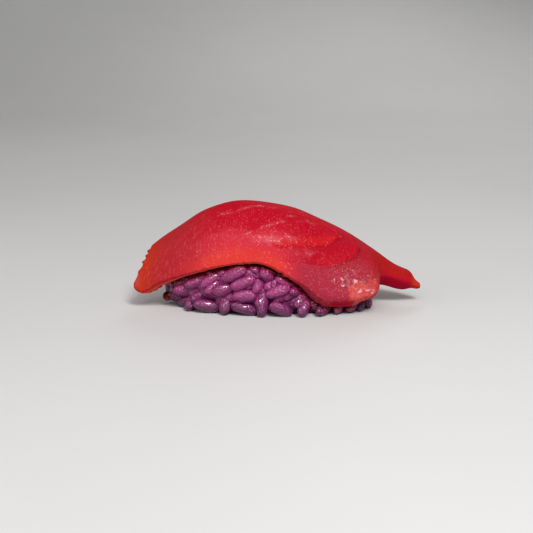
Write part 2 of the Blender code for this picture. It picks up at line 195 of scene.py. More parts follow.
# Marks on the outer face: reach in millimetres, then (share, across) places. A mark is weaker at its ends.
MARK_TAPER = 6
MARK_END = 0.4
BARE_WEDGE = (1.2, ((0.450, -0.75), (0.494, -0.69), (0.546, -0.61), (0.645, -0.42), (0.675, -0.35)))
# The sheen band is a painted highlight. The seams are pale lines of the muscle, and the pale rim of the left
# tip, with painted glints along them.
SHEEN = (
    (1.1, ((0.365, -0.72), (0.406, -0.70), (0.441, -0.67), (0.475, -0.63), (0.517, -0.58), (0.540, -0.54))),
    (0.6, ((0.410, -0.74), (0.448, -0.70), (0.480, -0.69))),
)
SEAM_GLINTS = (
    (0.7, ((0.540, -0.69), (0.576, -0.67), (0.598, -0.65), (0.630, -0.62))),
    (0.40, ((0.329, -0.69), (0.372, -0.65), (0.417, -0.57), (0.475, -0.43), (0.510, -0.37), (0.560, -0.30))),
    (0.35, ((0.495, -0.30), (0.520, -0.27), (0.545, -0.28))),
    (0.30, ((0.569, -0.22), (0.580, -0.27), (0.606, -0.25))),
    (0.60, ((0.260, -0.32), (0.309, -0.32), (0.339, -0.30), (0.375, -0.23), (0.429, -0.17), (0.475, -0.19))),
    (0.25, ((0.655, -0.17), (0.677, -0.21), (0.695, -0.30))),
    (0.45, ((0.006, -0.78), (0.010, -0.90), (0.020, -0.97), (0.045, -0.99))),
)
# The glint haze and the glints are painted highlights, mostly on the wet lobe.
GLINT_HAZE = (3.6, ((0.690, -0.78), (0.720, -0.80), (0.750, -0.83), (0.780, -0.90), (0.797, -0.93)))
GLINTS = (
    (0.7, ((0.688, -0.76), (0.702, -0.80))),
    (0.6, ((0.690, -0.86), (0.699, -0.84))),
    (0.5, ((0.655, -0.81), (0.668, -0.82))),
    (0.5, ((0.742, -0.77), (0.740, -0.85))),
    (0.8, ((0.745, -0.86), (0.757, -0.92))),
    (0.6, ((0.768, -0.92), (0.790, -0.95))),
    (0.4, ((0.795, -0.79), (0.799, -0.79))),
    (0.4, ((0.835, -0.83), (0.839, -0.83))),
    (0.5, ((0.692, -0.28), (0.696, -0.30))),
    (0.4, ((0.424, -0.97), (0.433, -0.97))),
)
# The lean of the cut shows below the lobe and below the tail, from and to these shares, where the face turns
# down into its rim (roundness where it starts, over what it comes in). There the cut is painted dark as
# shade, and so is the under face away from its rim. The shade below the tail is a painted mark.
SHADED_CUTS = ((0.650, 0.742), (0.83, 0.968))
SHADED_CUT_FADE = 0.012
SHADED_CUT_TURN = (0.8, 0.3)
SHADED_CUT_FRONT = 0.5
UNDER_FACE_TURN = (0.6, 0.4)
TAIL_SHADE = (2.8, ((0.820, -1.00), (0.900, -1.00), (0.945, -0.96), (0.968, -1.00)))
# The deep red layer between the two large laps: (where it starts, over what length it comes in), in shares
# of the length, and the same for its end on the back, in shares of the way across.
FLAKE_START = (0.46, 0.14)
FLAKE_BACK = (0.3, 0.5)
# On the back the colours change more slowly on the way down than in front.
BACK_DRIFT = 0.75


def along(rail, share):
    """Reads a rail at each share of its length. The curve never overshoots and runs on straight."""
    rail = np.array(rail)
    knots, values = rail[:, 0], rail[:, 1:]
    step = np.diff(knots)[:, None]
    rise = np.diff(values, axis=0) / step
    slope = np.zeros_like(values)
    same_way = rise[:-1] * rise[1:] > 0
    product = np.where(same_way, rise[:-1] * rise[1:], 0.0)
    mean = np.where(same_way, 0.5 * (rise[:-1] + rise[1:]), 1.0)
    slope[1:-1] = product / mean
    slope[0], slope[-1] = rise[0], rise[-1]
    beyond = (share - np.clip(share, 0.0, 1.0))[:, None]
    share = np.clip(share, 0.0, 1.0)
    i = np.clip(np.searchsorted(knots, share, side="right") - 1, 0, len(knots) - 2)
    u = ((share - knots[i]) / step[i, 0])[:, None]
    start = values[i] * (1 + 2 * u) * (1 - u) ** 2 + values[i + 1] * u**2 * (3 - 2 * u)
    bend = step[i] * (slope[i] * u * (1 - u) ** 2 - slope[i + 1] * u**2 * (1 - u))
    return start + bend + beyond * np.where(beyond < 0, slope[0], slope[-1])


def along_softly(rail, share, reach):
    """Reads a rail with its bends eased over the reach to either side."""
    offsets = np.linspace(-1, 1, EASING_STEPS)
    weights = 1 - np.abs(offsets) * (EASING_STEPS - 1) / EASING_STEPS
    total = sum(weight * along(rail, share + reach * offset) for offset, weight in zip(offsets, weights))
    return total / weights.sum()


def smooth_step(value):
    value = np.clip(value, 0, 1)
    return value**2 * (3 - 2 * value)


def edges_of_slice(share):
    """The crest, the front edge and the back edge at each share. The crest keeps sharper bends at the tip."""
    tip = smooth_step((share - TIP_SHARE) / (1 - TIP_SHARE))[:, None]
    soft_crest = along_softly(CREST_RAIL, share, CREST_EASING)
    crest = soft_crest + tip * (along_softly(CREST_RAIL, share, TIP_EASING) - soft_crest)
    front = along_softly(FRONT_RAIL, share, FRONT_EASING)
    back = along_softly(BACK_RAIL, share, CREST_EASING)
    return crest, front, back


def raggedness(share, across):
    """How far the front edge strays up or down, in millimetres. The tail is cut clean."""
    steady, swells = EDGE_SWELL
    last, fade = EDGE_CALM
    near_edge = smooth_step((-across - (1 - RAGGED_BAND)) / RAGGED_BAND)
    near_edge = near_edge * smooth_step(share / RAGGED_START) * smooth_step((last - share) / fade)
    strength = near_edge * (steady + (1 - steady) * np.sin(2 * math.pi * swells * share))
    ripples = [depth * np.sin(2 * math.pi * waves * share + shift) for depth, waves, shift in EDGE_WAVES]
    return strength * sum(ripples)


def outer_face(share, across):
    """The outer face: an arch from the front edge (across -1) over the crest (0) to the back edge (1)."""
    crest, front, back = edges_of_slice(share)
    edge = np.where(across[:, None] < 0, front, back)
    angle = np.abs(across) * DRAPE
    out = np.sin(angle) / math.sin(DRAPE)
    down = (1 - np.cos(angle)) / (1 - math.cos(DRAPE))
    points = crest + (edge - crest) * np.stack((down, out, down), axis=1)
    for place, width, reach in END_NUBS:
        bump = np.exp(-(((across - place) / width) ** 2)) * smooth_step(1 - share / NUB_REACH)
        points[:, 0] -= reach * bump
    points[:, 2] += raggedness(share, across)
    return points * MM


def outward(share, across):
    """Unit normals of the outer face, from small steps each way."""
    low, high = np.clip(share - NORMAL_STEP, 0, 1), np.clip(share + NORMAL_STEP, 0, 1)
    left, right = np.clip(across - NORMAL_STEP, -1, 1), np.clip(across + NORMAL_STEP, -1, 1)
    normal = np.cross(
        outer_face(high, across) - outer_face(low, across),
        outer_face(share, right) - outer_face(share, left),
    )
    return normal / np.linalg.norm(normal, axis=1)[:, None]


def edge_falloff(distance):
    """1 inside the slice, falling to 0 at its rim along a rounded edge."""
    inside = np.clip(distance / EDGE_ROUND, 0, 1)
    return (1 - (1 - inside) ** EDGE_SQUARENESS) ** (1 / EDGE_SQUARENESS)


def beside_path(share, across, path):
    """How far each place is from a path, on which side of it (above 0 on the right), and how far along it."""
    place = np.stack((share * SLICE_LENGTH, across * SLICE_HALF_WIDTH), axis=1)
    corners = np.array(path) * (SLICE_LENGTH, SLICE_HALF_WIDTH)
    nearest = np.full(len(share), FAR_AWAY)
    side = np.zeros(len(share))
    passed = np.zeros(len(share))
    for i in range(len(corners) - 1):
        run = corners[i + 1] - corners[i]
        part = np.clip((place - corners[i]) @ run / (run @ run), 0, 1)
        gap = place - corners[i] - part[:, None] * run
        distance = np.linalg.norm(gap, axis=1)
        closer = distance < nearest
        nearest = np.where(closer, distance, nearest)
        side = np.where(closer, run[1] * gap[:, 0] - run[0] * gap[:, 1], side)
        passed = np.where(closer, (i + part) / (len(corners) - 1), passed)
    return nearest, side, passed


def laps(share, across):
    """How far the lapped edges raise the outer face, where light is painted on their raised side and shade
    below them.
    """
    lift = np.zeros(len(share))
    lit_step = np.zeros(len(share))
    crease_shade = np.zeros(len(share))
    for height, fade, path in LAPPED_EDGES:
        nearest, side, passed = beside_path(share, across, path)
        raised = np.where(side > 0, height * np.sin(math.pi * passed) ** LAP_TAPER, 0.0)
        lift += raised * MM * smooth_step(nearest / LAP_STEP) * np.exp(-nearest / (fade * MM))
        lit_step = np.maximum(lit_step, raised * np.exp(-nearest / LAP_LIGHT_REACH))
        below = np.where(side > 0, 0.0, height * np.sin(math.pi * passed) ** LAP_TAPER)
        crease_shade = np.maximum(crease_shade, below * np.exp(-((nearest / LAP_SHADE_REACH) ** 2)))
    return lift, lit_step, crease_shade


def mark(share, across, marks):
    """1 on the marks' paths, falling away over their reach."""
    shade = np.zeros(len(share))
    for reach, path in marks:
        nearest, _, passed = beside_path(share, across, path)
        ends = smooth_step(MARK_TAPER * passed) * smooth_step(MARK_TAPER * (1 - passed))
        strength = MARK_END + (1 - MARK_END) * ends
        shade = np.maximum(shade, np.exp(-((nearest / (reach * MM)) ** 2)) * strength)
    return shade


def roundness(share, across):
    """1 inside the slice, falling to 0 along its rounded rim."""
    crest, front, back = edges_of_slice(share)
    reach = np.linalg.norm(np.where(across[:, None] < 0, front, back) - crest, axis=1) * MM
    to_side = (1 - np.abs(across)) * reach
    to_end = np.minimum(share, 1 - share) * SLICE_LENGTH
    return edge_falloff(to_side) * edge_falloff(to_end)


def slice_points(share, across, side):
    """Points of the slice's outer (side 1) or under (side -1) face."""
    points = outer_face(share, across)
    body = along_softly(BODY_RAIL, share, FRONT_EASING)
    thickness = body[:, :1] * MM
    lean = body[:, 1:] * smooth_step((-across[:, None] - LEAN_START) / (1 - LEAN_START))
    through = outward(share, across) + lean * np.array((0.0, 0.0, 1.0))
    through /= np.linalg.norm(through, axis=1)[:, None]
    rim = roundness(share, across)[:, None]
    lift = laps(share, across)[0][:, None] * rim if side > 0 else 0.0
    return points + through * (0.5 * thickness * (side * rim - 1) + lift)


def slice_layout(columns, rows):
    """The (share, across) places of a grid with more rows in front, and the grid's faces."""
    even, level = np.meshgrid(np.linspace(0, 1, columns + 1), np.linspace(-1, 1, rows + 1), indexing="ij")
    even, level = even.ravel(), level.ravel()
    share = np.round(even - END_CROWDING * np.sin(2 * math.pi * even) / (2 * math.pi), 9)
    favoured = level - FRONT_FAVOUR * (1 - level**2)
    across = np.round(favoured + RIM_CROWDING * np.sin(math.pi * favoured) / math.pi, 9)
    corner = (np.arange(columns)[:, None] * (rows + 1) + np.arange(rows)[None, :]).ravel()
    quads = np.stack((corner, corner + rows + 1, corner + rows + 2, corner + 1), axis=1)
    return share, across, quads


def slice_mesh(name, columns, rows):
    """The outer and under faces, joined along their rim."""
    share, across, quads = slice_layout(columns, rows)
    points = np.concatenate((slice_points(share, across, 1), slice_points(share, across, -1)))
    faces = np.concatenate((quads, quads[:, ::-1] + len(share)))
    mesh = bpy.data.meshes.new(name)
    mesh.from_pydata(points, [], faces.tolist())
    return mesh


def store_reading(mesh, name, values):
    mesh.attributes.new(name, "FLOAT", "POINT").data.foreach_set("value", values)


def join_rim(mesh):
    bm = bmesh.new()
    bm.from_mesh(mesh)
    bmesh.ops.remove_doubles(bm, verts=bm.verts, dist=WELD)
    bm.to_mesh(mesh)
    bm.free()
    mesh.shade_smooth()


def keep_in_box(mesh, node):
    """Draws in any point that stands outside its node's box, by a hair at most."""
    low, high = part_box(node)
    places = np.empty(len(mesh.vertices) * 3, dtype=np.float32)
    mesh.vertices.foreach_get("co", places)
    places = np.clip(places.reshape(-1, 3), np.array(low), np.array(high))
    mesh.vertices.foreach_set("co", places.ravel())
    mesh.update()


def place_piece(name, mesh, node):
    """Shows a finished mesh as a piece that rides on the object and stands for its CAD node."""
    piece = bpy.data.objects.new(name, mesh)
    bpy.context.scene.collection.objects.link(piece)
    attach(piece, "root")
    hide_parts(node)
    return piece


class Wire:
    """One output of a paint's node. Sums and products of wires and numbers add Math nodes."""

    def __init__(self, paint, socket):
        self.paint = paint
        self.socket = socket

    def maths(self, operation, *terms):
        return self.paint.node("ShaderNodeMath", {"operation": operation}, dict(enumerate(terms)), "Value")

    def __add__(self, other):
        return self.maths("ADD", self, other)

    __radd__ = __add__

    def __sub__(self, other):
        return self.maths("SUBTRACT", self, other)

    def __rsub__(self, other):
        return self.maths("SUBTRACT", other, self)

    def __mul__(self, other):
        return self.maths("MULTIPLY", self, other)

    __rmul__ = __mul__

    def ramp(self, low, high):
        """0 up to low and 1 from high on, smooth between. Where low is the larger, it falls instead."""
        rising = low < high
        limits = {"From Min": min(low, high), "From Max": max(low, high)}
        ends = {"To Min": 0.0 if rising else 1.0, "To Max": 1.0 if rising else 0.0}
        inputs = {"Value": self, **limits, **ends}
        return self.paint.node("ShaderNodeMapRange", {"interpolation_type": "SMOOTHSTEP"}, inputs, "Result")


class Paint:
    """A material while its nodes are added."""

    def __init__(self, name):
        self.material = bpy.data.materials.new(name)
        self.material.use_nodes = True
        self.tree = self.material.node_tree
        self.shader = self.tree.nodes["Principled BSDF"]

    def connect(self, socket, value):
        if isinstance(value, Wire):
            self.tree.links.new(value.socket, socket)
        else:
            socket.default_value = value

    def node(self, kind, settings, inputs, output):
        made = self.tree.nodes.new(kind)
        for name, value in settings.items():
            setattr(made, name, value)
        for name, value in inputs.items():
            self.connect(made.inputs[name], value)
        return Wire(self, made.outputs[output])

    def reading(self, name):
        return self.node("ShaderNodeAttribute", {"attribute_name": name}, {}, "Fac")

    def place(self):
        return self.node("ShaderNodeTexCoord", {}, {}, "Object")

    def mix(self, share, first, second):
        """A colour between two colours."""
        settings = {"data_type": "RGBA", "clamp_factor": True}
        ends = {6: first, 7: second}
        inputs = {key: end if isinstance(end, Wire) else (*end, 1.0) for key, end in ends.items()}
        return self.node("ShaderNodeMix", settings, {0: share, **inputs}, 2)

    def noise(self, place, size, detail=2.0):
        """A noise between 0 and 1 with features of this size."""
        inputs = {"Vector": place, "Scale": 1.0 / size, "Detail": detail}
        return self.node("ShaderNodeTexNoise", {}, inputs, "Fac")

    def drawn_out(self, place, stretch):
        """A place for patterns that are drawn out along each axis by this much."""
        inputs = {0: place, 1: tuple(1.0 / part for part in stretch)}
        return self.node("ShaderNodeVectorMath", {"operation": "MULTIPLY"}, inputs, "Vector")

    def relief(self, height, depth):
        """The normal of a surface raised by height times depth."""
        return self.node("ShaderNodeBump", {}, {"Height": height, "Distance": depth}, "Normal")

    def finish(self, **sockets):
        for name, value in sockets.items():
            self.connect(self.shader.inputs[name.replace("_", " ")], value)
        return self.material


def ink(*parts):
    """A colour from its red, green and blue on a screen, each from 0 to 255."""
    return tuple(((part / 255 + 0.055) / 1.055) ** 2.4 if part > 10 else part / 255 / 12.92 for part in parts)


CREST_RED = ink(173, 8, 30)
MIDDLE_RED = ink(176, 16, 36)
LOWER_ROSE = ink(192, 44, 58)
EDGE_CORAL = ink(208, 56, 50)
LEFT_RED = ink(172, 36, 44)
TIP_RUST = ink(180, 46, 26)
FLAKE_RED = ink(170, 14, 34)
RIGHT_RED = ink(166, 26, 42)
PALE_RIGHT = ink(162, 40, 54)
LOBE_ROSE = ink(162, 42, 60)
FLAP_CORAL = ink(200, 72, 66)
TAIL_RED = ink(168, 24, 26)
CUT_SHADE = ink(166, 10, 42)
KNOB_ORANGE = ink(190, 46, 24)
WEDGE_SCARLET = ink(186, 25, 34)
LIT_LAP_SCARLET = ink(200, 22, 32)
# Pale pink for the painted glint specks, and for the meat's own pale fibre streaks.
FIBRE_AND_GLINT_PINK = ink(236, 140, 148)
GLINT = ink(250, 206, 214)
CREASE_SHADE = ink(128, 4, 24)
EDGE_GLOW = ink(240, 84, 66)
# Where a colour of the flesh comes in: (none of it, all of it), in millimetres down from the crest.
MIDDLE_DOWN = (4, 12)
ROSE_DOWN = (11, 16)
CORAL_DOWN = (16, 20.5)
PALE_DOWN = (10, 14)
LOBE_DOWN = (15, 18)
FLAP_DOWN = (17.0, 19.0)
STREAKS_DOWN = (8, 13)
# The same, in millimetres from the left cut.
TIP_ALONG = (8, 1)
LEFT_ALONG = (24, 8)
CORAL_ALONG = (9, 20)
CORAL_END = (46, 37)
RIM_GLOW_END = (48, 36)
RIGHT_ALONG = (40, 50)
RIGHT_RED_ALONG = (57, 62)
FLAP_ALONG = (58.2, 59.2)
FLAP_END = (69, 66)
TAIL_ALONG = (62, 70)
KNOB_ALONG = (79.2, 80.6)
# Where the painted glint specks come in and fade, in millimetres from the left cut.
GLINT_SPECKS_ALONG = (0, 24)
GLINT_SPECKS_END = (70, 58)
STREAKS_END = (34, 20)
# The sizes of the patterns in the flesh, how far they stray, and how the fibre is drawn out.
CLOUD_SIZE = 8 * MM
PATCH_SIZE = 2.2 * MM
MEAT_GRAIN_SIZE = 0.42 * MM
WET_SIZE = 1.3 * MM
CLOUD_STRAY = 7.0
PATCH_STRAY = 2.0
FIBRE_SIZE = (0.45, 2.6, 1.0)
FLESH_RELIEF = 0.14 * MM


def tuna_flesh():
    """Raw flesh. A noise's ramp says how much a pattern covers, and its factor how strong it is."""
    paint = Paint("tuna_flesh")
    place = paint.place()
    share = paint.reading("share_mm")
    down = paint.reading("down_mm")
    cloud = paint.noise(place, CLOUD_SIZE, 3.0)
    patch = paint.noise(place, PATCH_SIZE, 3.0)
    drift = down + (cloud - 0.5) * CLOUD_STRAY
    colour = paint.mix(drift.ramp(*MIDDLE_DOWN), CREST_RED, MIDDLE_RED)
    colour = paint.mix(drift.ramp(*ROSE_DOWN), colour, LOWER_ROSE)
    colour = paint.mix(share.ramp(*LEFT_ALONG), colour, LEFT_RED)
    coral = drift.ramp(*CORAL_DOWN) * share.ramp(*CORAL_ALONG) * share.ramp(*CORAL_END)
    colour = paint.mix(coral, colour, EDGE_CORAL)
    colour = paint.mix(share.ramp(*TIP_ALONG), colour, TIP_RUST)
    inside_laps = paint.reading("on_flake")
    colour = paint.mix(inside_laps, colour, FLAKE_RED)
    right = share.ramp(*RIGHT_ALONG) * (1.0 - inside_laps)
    colour = paint.mix(right * share.ramp(*RIGHT_RED_ALONG), colour, RIGHT_RED)
    colour = paint.mix(right * drift.ramp(*PALE_DOWN), colour, PALE_RIGHT)
    colour = paint.mix(right * down.ramp(*LOBE_DOWN), colour, LOBE_ROSE)
    stray = (patch - 0.5) * PATCH_STRAY
    flap = (share + stray).ramp(*FLAP_ALONG) * share.ramp(*FLAP_END) * (down + stray * 2.0).ramp(*FLAP_DOWN)
    colour = paint.mix(flap, colour, FLAP_CORAL)
    colour = paint.mix(share.ramp(*TAIL_ALONG), colour, TAIL_RED)
    colour = paint.mix(share.ramp(*KNOB_ALONG), colour, KNOB_ORANGE)
    colour = paint.mix(paint.reading("wedge").ramp(0.25, 0.65), colour, WEDGE_SCARLET)
    # Painted light on the raised side of each lapped edge, and painted shade in the crease below it.
    colour = paint.mix(paint.reading("lit_step") * 0.8, colour, LIT_LAP_SCARLET)
    colour = paint.mix(paint.reading("crease_shade") * 0.9, colour, CREASE_SHADE)

    # Painted highlights: pale specks as glints on the wet grain, denser lower down, in the sheen band and
    # along the seams.
    fine = paint.noise(place, MEAT_GRAIN_SIZE, 3.0)
    glint_specks = fine.ramp(0.54, 0.70)
    seam_glints = paint.reading("seam_glints") * patch.ramp(0.35, 0.6)
    glint_cover = (drift.ramp(0, 13) * 0.26 + 0.08) * patch.ramp(0.3, 0.65) * (1.0 - inside_laps * 0.6)
    glint_cover = glint_cover * (share.ramp(*GLINT_SPECKS_END) * share.ramp(*GLINT_SPECKS_ALONG) * 0.7 + 0.3)
    sheen_and_seam_glints = paint.reading("sheen") * patch.ramp(0.3, 0.6) * 0.7 + seam_glints * 0.5
    colour = paint.mix(glint_specks * (glint_cover + sheen_and_seam_glints * 0.8) + sheen_and_seam_glints * 0.22, colour, FIBRE_AND_GLINT_PINK)
    surface = paint.node("ShaderNodeCombineXYZ", {}, {"X": share, "Y": down}, "Vector")
    fibre = paint.noise(paint.drawn_out(surface, FIBRE_SIZE), 1.0, 2.0)
    streaks = fibre.ramp(0.52, 0.75) * share.ramp(*STREAKS_END) * down.ramp(*STREAKS_DOWN)
    colour = paint.mix(streaks * 0.12, colour, FIBRE_AND_GLINT_PINK)
    # Painted highlights: glints and their haze on the wet lobe, beside the real gloss of the coat.
    haze = paint.reading("haze")
    wet = paint.noise(place, WET_SIZE, 6.0).ramp(0.47, 0.62)
    glints = paint.reading("glints").ramp(0.15, 0.7) * wet
    colour = paint.mix(glints * 0.45 + haze * (wet * 0.12 + glint_specks * 0.15), colour, GLINT)
    # Painted light: the thin rim glows coral as if lit through, which also lifts the shade on the cut.
    glowing = paint.reading("rim").ramp(0.2, 0.8) * share.ramp(*RIM_GLOW_END)
    colour = paint.mix(glowing * 0.7, colour, EDGE_GLOW)
    # Painted shade on the cuts that turn down, below the tail and on the under face away from its rim.
    colour = paint.mix(paint.reading("shaded_cut"), colour, CUT_SHADE)
    height = fine * 0.4 + fibre * 0.25 + patch * (haze * 2.0 + 0.8) + wet * haze * 1.5
    return paint.finish(
        Base_Color=colour,
        Roughness=0.55 - haze * 0.15,
        Subsurface_Weight=0.22,
        Subsurface_Radius=(1.0, 0.12, 0.12),
        Subsurface_Scale=2.2 * MM,
        Specular_IOR_Level=0.01,
        Coat_Weight=glint_specks * glint_cover * 0.6 + sheen_and_seam_glints * 0.06 + glints * 0.25 + haze * 0.03,
        Coat_Roughness=0.2,
        Normal=paint.relief(height, FLESH_RELIEF),
    )


def on_flake(share, across):
    """1 between the two large lapped edges, where a deeper red layer of the muscle lies bare."""
    outer_gap, outer_side, _ = beside_path(share, across, BIG_LAP)
    inner_gap, inner_side, _ = beside_path(share, across, INNER_LAP)
    within = smooth_step(outer_gap * np.sign(outer_side) / MM + 0.5)
    beyond = smooth_step(0.5 - inner_gap * np.sign(inner_side) / MM)
    start, run_in = FLAKE_START
    back, fade = FLAKE_BACK
    return within * beyond * smooth_step((back - across) / fade) * smooth_step((share - start) / run_in)


def shaded_cut(share, across):
    """1 where the outer face turns down into a cut that is painted dark as shade, and in the painted shade
    below the tail.
    """
    start, turn = SHADED_CUT_TURN
    turned = smooth_step((start - roundness(share, across)) / turn) * smooth_step(-across / SHADED_CUT_FRONT)
    shown = np.zeros(len(share))
    for low, high in SHADED_CUTS:
        shown += smooth_step((share - low) / SHADED_CUT_FADE) * smooth_step((high - share) / SHADED_CUT_FADE)
    return np.maximum(turned * shown, mark(share, across, (TAIL_SHADE,)))


share, across, _ = slice_layout(SLICE_COLUMNS, SLICE_ROWS)
flesh_mesh = slice_mesh("tuna_slice_flesh", SLICE_COLUMNS, SLICE_ROWS)
nothing = np.zeros(len(share))
down = np.where(across < 0, -across, across * BACK_DRIFT) * SLICE_HALF_WIDTH / MM
_, lit_step, crease_shade = laps(share, across)
cut = shaded_cut(share, across)
inside = roundness(share, across)
under_start, under_turn = UNDER_FACE_TURN
under_cut = np.maximum(cut, smooth_step((inside - under_start) / under_turn))
for name, values, under_values in (
    ("share_mm", share * SLICE_LENGTH / MM, share * SLICE_LENGTH / MM),
    ("down_mm", down, down),
    ("lit_step", lit_step, nothing),
    ("crease_shade", crease_shade, nothing),
    ("on_flake", on_flake(share, across), nothing),
    ("wedge", mark(share, across, (BARE_WEDGE,)), nothing),
    ("sheen", mark(share, across, SHEEN), nothing),
    ("seam_glints", mark(share, across, SEAM_GLINTS), nothing),
    ("haze", mark(share, across, (GLINT_HAZE,)), nothing),
    ("glints", mark(share, across, GLINTS), nothing),
    ("rim", 1 - inside, 1 - inside),
    ("shaded_cut", cut, under_cut),
):
    store_reading(flesh_mesh, name, np.concatenate((values, under_values)))
join_rim(flesh_mesh)
keep_in_box(flesh_mesh, "tuna_slice")
flesh_mesh.materials.append(tuna_flesh())
place_piece("tuna_slice_flesh", flesh_mesh, "tuna_slice")

# The core of the rice pad
# Under the grains that show lies the pressed mass of the pad, wet with vinegar and painted dark as the shade
# in the gaps. It is the same loaf as in the solids, drawn in a little, so that the grains lie half in it.

PAD_LENGTH = 57.0 * MM
PAD_WIDTH = 25.6 * MM
PAD_WAIST = 5.0 * MM
PAD_LEFT_SQUARENESS = 2.0
PAD_RIGHT_SQUARENESS = 2.8
PAD_CROWN = 27.0 * MM
PAD_CROWN_LEAN = -0.2
PAD_FOOT_TUCK = 12.0 * MM
PAD_MERIDIANS = 36
PAD_PARALLELS = 16
PRESSED_GAP = 0.4 * MM
CORE_DRAWN_IN = 0.3 * MM
CORE_CLEARANCE = 0.7 * MM
# The grid of the face that the rice is pressed against, and how far the pad's heart runs towards its ends.
PRESSING_COLUMNS = 110
PRESSING_ROWS = 60
HEART_SPAN = 0.8
PRESSED_LUMP = 2.5 * MM
PRESSED_RELIEF = 0.8 * MM
# Both purples are darker than the grains: painted shade in the gaps between them.
GAP_SHADE_PURPLE = ink(84, 10, 44)
PRESSED_SHADE_PURPLE = ink(124, 30, 78)


def squarer_plan(x, y):
    """How much wider than round the pad's plan is this way. Its right end is squarer than its left."""
    away = math.hypot(x, y)
    if abs(y) <= WELD:
        return 1.0
    squareness = PAD_RIGHT_SQUARENESS if x > 0 else PAD_LEFT_SQUARENESS
    return (1 - (abs(x) / away) ** squareness) ** (1 / squareness) * away / abs(y)


def pad_loaf():
    """The pad under the grains: a sphere drawn out to an oblong loaf that leans with the slice, cut flat."""
    bm = bmesh.new()
    bmesh.ops.create_uvsphere(bm, u_segments=PAD_MERIDIANS, v_segments=PAD_PARALLELS, radius=1.0)
    for vertex in bm.verts:
        x = vertex.co.x * PAD_LENGTH / 2
        y = vertex.co.y * PAD_WIDTH / 2 * squarer_plan(vertex.co.x, vertex.co.y)
        crown = PAD_CROWN + PAD_CROWN_LEAN * x - PAD_WAIST
        rise = crown if vertex.co.z > 0 else PAD_FOOT_TUCK
        vertex.co = (x, y, PAD_WAIST + vertex.co.z * rise)
    cut = bmesh.ops.bisect_plane(
        bm,
        geom=bm.verts[:] + bm.edges[:] + bm.faces[:],
        plane_co=(0, 0, 0),
        plane_no=(0, 0, 1),
        clear_inner=True,
    )
    rim = [part for part in cut["geom_cut"] if isinstance(part, bmesh.types.BMEdge)]
    bmesh.ops.contextual_create(bm, geom=rim)
    bmesh.ops.recalc_face_normals(bm, faces=bm.faces)
    return bm


def underside_of_slice():
    """The slice grown by a small gap, as a surface to press the rice against."""
    mesh = slice_mesh("pressing_face", PRESSING_COLUMNS, PRESSING_ROWS)
    join_rim(mesh)
    bm = bmesh.new()
    bm.from_mesh(mesh)
    bm.normal_update()
    for vertex in bm.verts:
        vertex.co += vertex.normal * PRESSED_GAP
    tree = BVHTree.FromBMesh(bm)
    bm.free()
    bpy.data.meshes.remove(mesh)
    return tree


pressing_face = underside_of_slice()


def press_under_slice(points, clearance):
    """Draws points that reach into the slice or crowd its rim back towards the heart of the pad."""
    for point in points:
        heart = Vector((point.x * HEART_SPAN, 0.0, min(PAD_WAIST, point.z)))
        reach = point - heart
        if reach.length < MM:
            continue
        hit, _, _, distance = pressing_face.ray_cast(heart, reach.normalized())
        if hit is not None and distance < reach.length:
            point.xyz = hit
        short = clearance - pressing_face.find_nearest(point)[3]
        if short > 0:
            point.xyz = point - reach.normalized() * short


def pressed_rice():
    paint = Paint("pressed_rice")
    lump = paint.noise(paint.place(), PRESSED_LUMP, 2.0)
    return paint.finish(
        Base_Color=paint.mix(lump.ramp(0.35, 0.65), GAP_SHADE_PURPLE, PRESSED_SHADE_PURPLE),
        Roughness=0.45,
        Specular_IOR_Level=0.2,
        Normal=paint.relief(lump, PRESSED_RELIEF),
    )


core = pad_loaf()
bmesh.ops.subdivide_edges(core, edges=core.edges, cuts=1, use_grid_fill=True)
core.normal_update()
for vertex in core.verts:
    if vertex.co.z > WELD:
        vertex.co -= vertex.normal * CORE_DRAWN_IN
        vertex.co.z = max(vertex.co.z, 0.0)
press_under_slice([vertex.co for vertex in core.verts], CORE_CLEARANCE)
bmesh.ops.recalc_face_normals(core, faces=core.faces)
core_mesh = bpy.data.meshes.new("rice_core")
core.to_mesh(core_mesh)
core.free()
core_mesh.shade_smooth()
core_mesh.materials.append(pressed_rice())
place_piece("rice_core", core_mesh, "rice")

# The grains of rice
# Short round grains, dyed purple and steamed, that swell to about 8 mm and stick to each other. The largest
# of the served side lie where they were seen; the rest find room by a seeded rule, in rounds that go deeper.

GRAIN_LENGTH = (7.2 * MM, 8.6 * MM)
GRAIN_WIDTH = (3.4 * MM, 3.9 * MM)
GRAIN_FLATNESS = (0.84, 0.96)
GRAIN_TURNS = (-60, -30, -10, 10, 30, 60, 85)
GRAIN_SPOTS = (-0.3, 0.0, 0.3)
TURN_SPREAD = 12
DIP_SPREAD = 25
THROW_TARGET = 0.8
THROW_ORIGIN = (2.0, 6.0)
FOOT_GRAIN_HEIGHT = 1.85 * MM
FOOT_GRAIN_COUNT = 48
FOOT_SHIFT = 0.2
FOOT_DIPS = (-60, -20, 0, 20, 60)
FOOT_LIFT = 0.05 * MM
GRAIN_CLEARANCE = 0.3 * MM
# One grain's mesh, the soft lumps on it, and the patterns of its wet skin.
GRAIN_SIDES = 10
GRAIN_RINGS = 7
GRAIN_BLUNTNESS = 2.5
GRAIN_LEAST_GIRTH = 0.05
LUMP_SIZE = 2.4 * MM
LUMP_HEIGHT = 1.3 * MM
RICE_CLOUD_SIZE = 1.8 * MM
RICE_FILM_SIZE = 1.9 * MM
RICE_BEAD_SIZE = 0.6 * MM
RICE_RELIEF = 0.4 * MM
DEEP_PURPLE = ink(138, 36, 98)
PINK_PURPLE = ink(174, 64, 128)
CLOUDY_PURPLE = ink(122, 28, 92)
FOOT_SHADE_PURPLE = ink(66, 14, 64)
SHADED_PURPLE = ink(84, 14, 64)
# Painted shade and red light let through by the slice, on the grains next to it, out to this reach.
FISH_SHADE_RED = ink(130, 8, 38)
FISH_SHADE_REACH = 2.0 * MM
